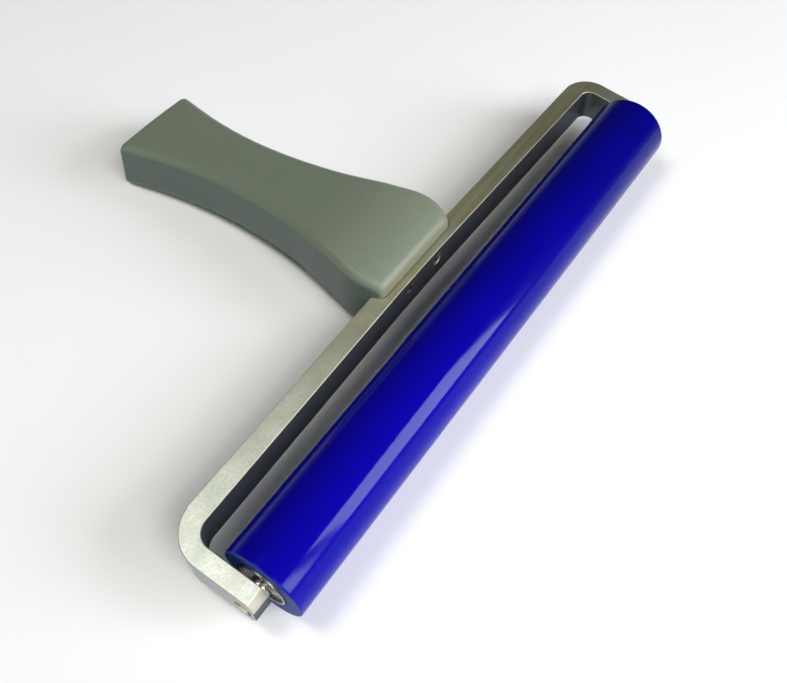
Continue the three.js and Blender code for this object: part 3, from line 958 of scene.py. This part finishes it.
def grip_blank():
    """The grip before its cuts: sections along Y, rounded and closed at both ends."""
    half_width, top, underside = along(HALF_WIDTHS), along(TOPS), along(UNDERSIDES)
    first, last = GRIP_FRONT + GRIP_END_ROUND, GRIP_REAR - GRIP_END_ROUND
    rounding = arc(first, -GRIP_END_ROUND, GRIP_END_ROUND, 180, 90, ROUNDING_RINGS)[:-1]
    stations = [(y, -height) for y, height in rounding]
    stations += [(first + (last - first) * i / GRIP_RINGS, 0) for i in range(GRIP_RINGS + 1)]
    stations += [(first + last - y, -height) for y, height in reversed(rounding)]
    made = bmesh.new()
    rings = []
    for y, inset in stations:
        ring = []
        t = min(max((y - SLANT_START) / (GRIP_REAR - SLANT_START), 0), 1)
        slant = GRIP_END_SLANT * t * t * (3 - 2 * t)
        for x, z in grip_section(half_width(y), top(y), underside(y), inset):
            ring.append(made.verts.new((x + GRIP_SHIFT, y + slant * (top(GRIP_REAR) - z), z)))
        rings.append(ring)
    for one, other in zip(rings, rings[1:]):
        for i in range(len(one)):
            j = (i + 1) % len(one)
            made.faces.new((one[i], one[j], other[j], other[i]))
    made.faces.new(rings[0])
    made.faces.new(rings[-1])
    return made


def grip_cutters():
    """The bar's channel and the two holes for the brass inserts."""
    back = BAR_FRONT + BAR_DEPTH + BAR_BOW + FACE_GAP
    half = CHANNEL_HALF_LENGTH
    corners = [(-half, 0), (half, 0), (half, back), (-half, back)]
    cutters = [new_piece("channel", prism(corners, FRAME_HEIGHT / 2 + FACE_GAP))]
    for side in SIDES:
        node = f"handle_insert_{side}"
        radius = extent(node).z / 2 + SEAT_GAP
        depth = extent(node).y + INSERT_HOLE_SPARE
        outline = [(-depth, 0), (-depth, radius), (INSERT_OVERCUT, radius), (INSERT_OVERCUT, 0)]
        drill = turned_mesh(outline, SMALL, False)
        cutters.append(new_piece("drill", drill, facing((0, -1, 0), front(node))))
    return cutters


def make_grip():
    piece = new_piece("moulded_grip", grip_blank())
    carve(piece, grip_cutters())
    finish_piece(piece, "handle", "frame", PLASTIC)


# ---- Studio -----------------------------------------------------------------
# Lights are placed in metres and in degrees around the roller's middle.

DAYLIGHT = (0.88, 0.90, 1.0)
WARM_WHITE = (1.0, 0.99, 0.93)
SKY = (0.86, 0.93, 1.0)
# The sky's brightness, from low directions to high ones.
HORIZON_FADE = {"From Min": 0.04, "From Max": 0.24, "To Min": 0.38, "To Max": 0.065}
FLOOR_RADIUS = 1.35
FLOOR_FADE = (0.5, 1.2)
WINDOW_HEADING = -66
WINDOW_DISTANCE = 1.5
WINDOW_RAISE = 0.70
WINDOW_HEIGHT = 0.90
WINDOW_RADIANCE = 14
# Panes are (name, offset along the wall, width).
WINDOW_PANES = [("window", -0.02, 0.60), ("window_side", -0.52, 0.18)]
PANEL_DISTANCE = 1.6
# Panels are (name, azimuth, elevation, size, radiance).
PANELS = [("key", -110, 47, 0.70, 9), ("ceiling", 125, 68, 0.55, 10)]

# The camera, solved from the photograph: its place from the roller's middle, in
# millimetres, and how it is turned, in degrees.
CAMERA_PLACE = (-206.6, -104.5, 304.4)
CAMERA_TURN = -53.52
CAMERA_TILT = 54.73
CAMERA_ROLL = -1.5
SENSOR_WIDTH = 36
FOCAL_LENGTH = 38.71
CLIP_START = 0.01


def make_floor():
    """A pale disc with a painted falloff of light: its tone fades to grey away from the object."""
    m = Nodes("pale_floor")
    x, y, _ = m.parts("Object")
    tone = m.mix(m.span(m.noise(3), *NOISE_RANGE), FLOOR_DARK, FLOOR_LIGHT)
    # Painted falloff of light: the floor darkens away from the object.
    tone = m.mix(m.span(m.reach(x, y), *FLOOR_FADE), tone, FLOOR_FALLOFF_SHADE)
    m.set(Base_Color=tone, Roughness=0.9, Specular_IOR_Level=0.2)
    m.bump((m.noise(400), 0.05, 0.0001))
    made = bmesh.new()
    bmesh.ops.create_circle(made, cap_ends=True, radius=FLOOR_RADIUS, segments=MEDIUM)
    data = bpy.data.meshes.new("floor")
    made.to_mesh(data)
    made.free()
    floor = bpy.data.objects.new("floor", data)
    floor.data.materials.append(m.material)
    bpy.context.scene.collection.objects.link(floor)


def area_light(name, place, target, width, height, radiance, tint):
    """A soft light panel. Its power gives the radiance over its whole face."""
    data = bpy.data.lights.new(name, "AREA")
    data.shape = "RECTANGLE"
    data.size = width
    data.size_y = height
    data.energy = math.pi * radiance * width * height
    data.color = tint
    light = bpy.data.objects.new(name, data)
    light.location = place
    light.rotation_euler = (Vector(target) - Vector(place)).to_track_quat("-Z", "Y").to_euler()
    light.visible_camera = False
    bpy.context.scene.collection.objects.link(light)


def polar(azimuth, elevation, distance):
    """A place around the roller's middle, in degrees and metres."""
    a, e = math.radians(azimuth), math.radians(elevation)
    out = Vector((math.cos(a) * math.cos(e), math.sin(a) * math.cos(e), math.sin(e)))
    return AXIS + out * distance


def make_window():
    """Two panes of one window, which draw the long highlights on the roller."""
    heading = math.radians(WINDOW_HEADING)
    out = Vector((math.cos(heading), math.sin(heading), 0))
    along_wall = Vector((-math.sin(heading), math.cos(heading), 0))
    for name, offset, width in WINDOW_PANES:
        place = AXIS + out * WINDOW_DISTANCE + along_wall * offset
        place.z += WINDOW_RAISE
        area_light(name, place, place - out, width, WINDOW_HEIGHT, WINDOW_RADIANCE, DAYLIGHT)


def make_lights():
    """The window, two ceiling panels and a dim sky that is brightest at the horizon."""
    make_window()
    for name, azimuth, elevation, size, radiance in PANELS:
        place = polar(azimuth, elevation, PANEL_DISTANCE)
        area_light(name, place, AXIS, size, size, radiance, WARM_WHITE)
    world = bpy.data.worlds.new("studio")
    world.use_nodes = True
    tree = world.node_tree
    background = tree.nodes["Background"]
    background.inputs["Color"].default_value = colour(*SKY)
    directions = tree.nodes.new("ShaderNodeTexCoord")
    split = tree.nodes.new("ShaderNodeSeparateXYZ")
    tree.links.new(directions.outputs["Generated"], split.inputs["Vector"])
    fade = tree.nodes.new("ShaderNodeMapRange")
    fade.interpolation_type = "SMOOTHSTEP"
    for name, value in HORIZON_FADE.items():
        fade.inputs[name].default_value = value
    tree.links.new(split.outputs["Z"], fade.inputs["Value"])
    tree.links.new(fade.outputs["Result"], background.inputs["Strength"])
    bpy.context.scene.world = world


def make_camera():
    """The photograph's viewpoint: a camera left of the tool, looking down on it."""
    turn, tilt, roll = map(math.radians, (CAMERA_TURN, CAMERA_TILT, CAMERA_ROLL))
    level = Vector((math.cos(turn), math.sin(turn), 0))
    inward = Vector((math.sin(turn), -math.cos(turn), 0))
    back = inward * math.cos(tilt) + Vector((0, 0, math.sin(tilt)))
    right = Matrix.Rotation(roll, 3, back) @ level
    axes = Matrix((right, back.cross(right), back)).transposed()
    data = bpy.data.cameras.new("camera")
    data.sensor_width = SENSOR_WIDTH
    data.lens = FOCAL_LENGTH
    data.clip_start = CLIP_START
    camera = bpy.data.objects.new("camera", data)
    place = Matrix.Translation(AXIS + Vector(CAMERA_PLACE) * MM)
    camera.matrix_world = place @ axes.to_4x4()
    bpy.context.scene.collection.objects.link(camera)
    bpy.context.scene.camera = camera


# ---- Assembly ---------------------------------------------------------------

make_camera()
make_sleeve()
make_core()
make_axle()
make_frame()
make_grip()
for side in SIDES:
    make_bearing(side)
    make_spacer(side)
    make_axle_screw(side)
    make_grip_screw(side)
    make_insert(side)
make_floor()
make_lights()
bpy.context.scene.view_settings.view_transform = "Standard"
bpy.context.scene.cycles.use_denoising = True
